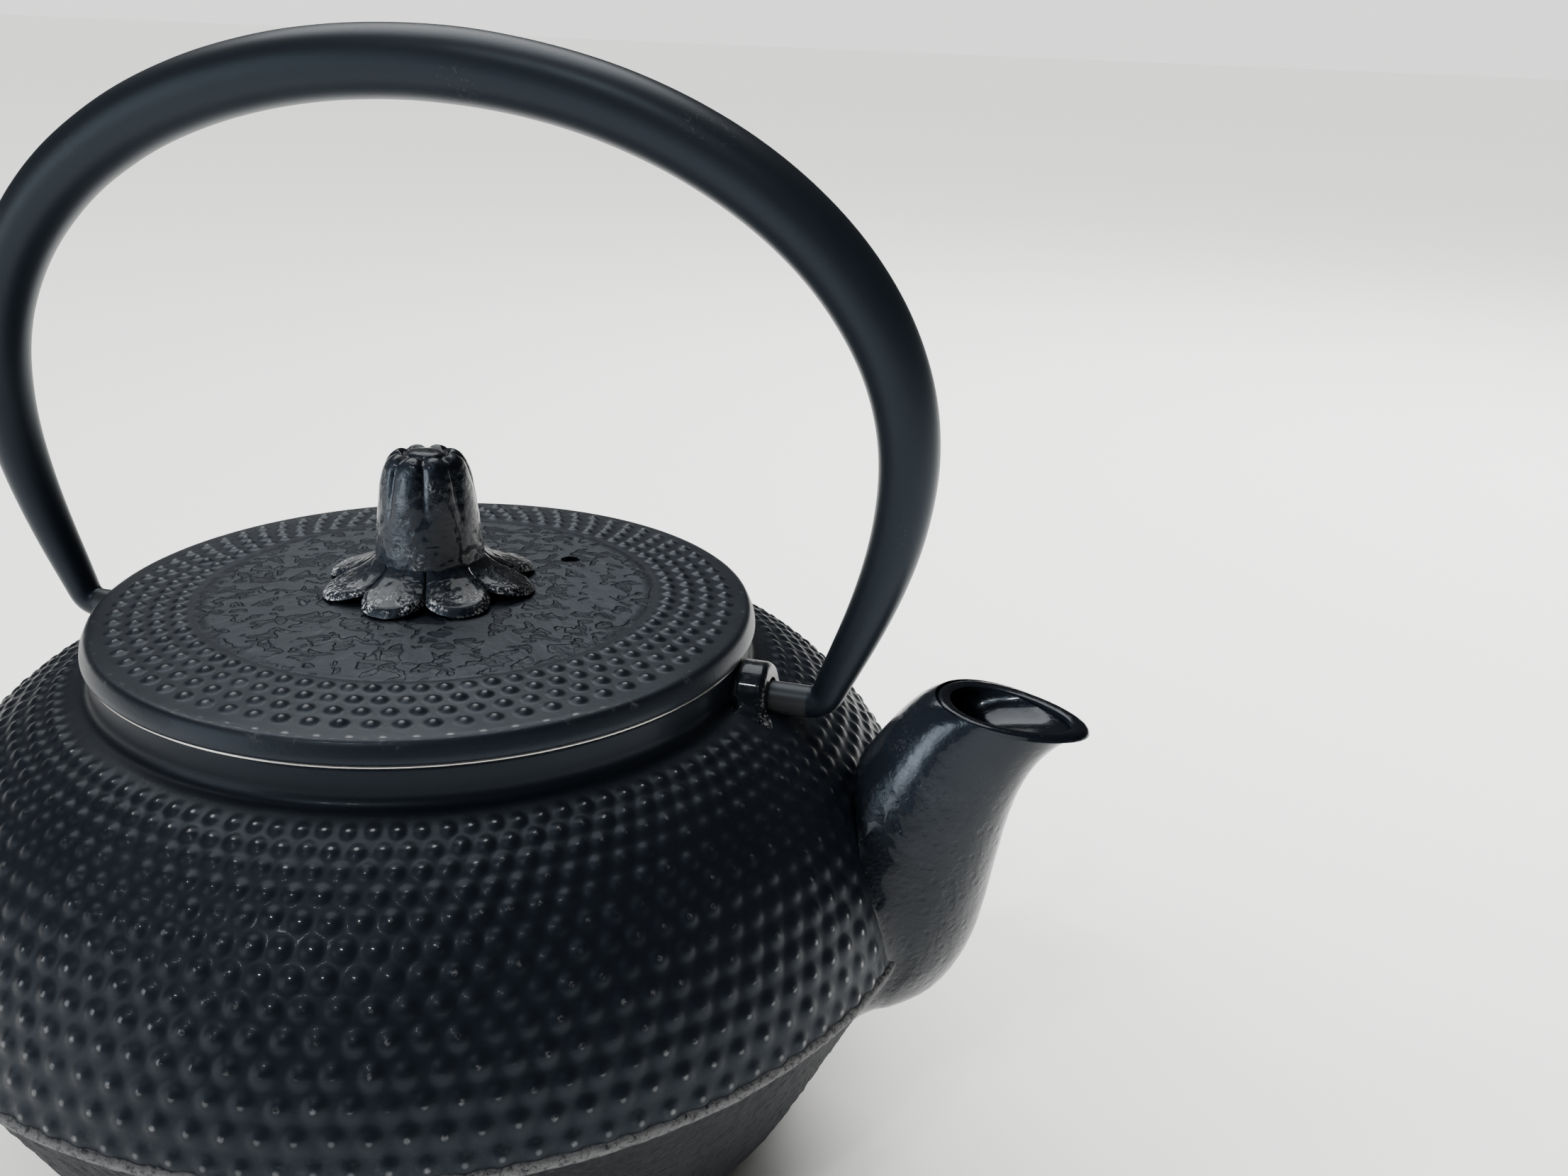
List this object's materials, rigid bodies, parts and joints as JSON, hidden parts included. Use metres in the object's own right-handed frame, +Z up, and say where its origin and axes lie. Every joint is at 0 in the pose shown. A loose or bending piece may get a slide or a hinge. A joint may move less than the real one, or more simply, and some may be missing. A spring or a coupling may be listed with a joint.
{
  "type": "cast iron teapot",
  "caption": "Low round cast iron teapot with a dotted shoulder, a short upturned spout, a swinging bow handle, a lift-off lid with a bud knob, and a steel infuser.",
  "frame": {"origin": "on the pot's axis, on the flat base it stands on", "axes": "+Z up along the pot's axis, +X along the spout, +Y to the left of the spout; the handle hinges about X"},
  "size_m": [0.171, 0.15, 0.1549],
  "materials": {
    "body_iron": "satin blue-black coating over cast dots, rough and greyer on the underside",
    "gloss_iron": "glossy black coating over pitted casting skin",
    "lid_iron": "satin black, with a rough skin round the knob and a worn edge",
    "handle_iron": "smooth satin blue-black coating",
    "enamel": "smooth glossy black enamel",
    "infuser_steel": "pressed stainless sheet",
    "infuser_mesh": "fine woven stainless mesh"
  },
  "bodies": {
    "pot": {"pot_body": "body_iron", "spout": "gloss_iron", "enamel_lining": "enamel"},
    "bow": {"handle": "handle_iron"},
    "infuser": {"infuser_rim": "infuser_steel", "infuser_wall": "infuser_mesh", "infuser_base_band": "infuser_steel", "infuser_floor": "infuser_mesh"},
    "lid": {"lid": "lid_iron", "lid_knob": "gloss_iron", "knob_washer": "infuser_steel"}
  },
  "joints": [
    {"name": "handle_swing", "type": "hinge", "parent": "pot", "child": "bow", "pos_m": [0, 0, 0.0677], "axis": [1, 0, 0], "range_deg": [-105, 105]},
    {"name": "infuser_lift", "type": "slide", "parent": "pot", "child": "infuser", "axis": [0, 0, 1], "range_m": [0, 0.045]},
    {"name": "lid_lift", "type": "slide", "parent": "infuser", "child": "lid", "axis": [0, 0, 1], "range_m": [0, 0.045]}
  ]
}
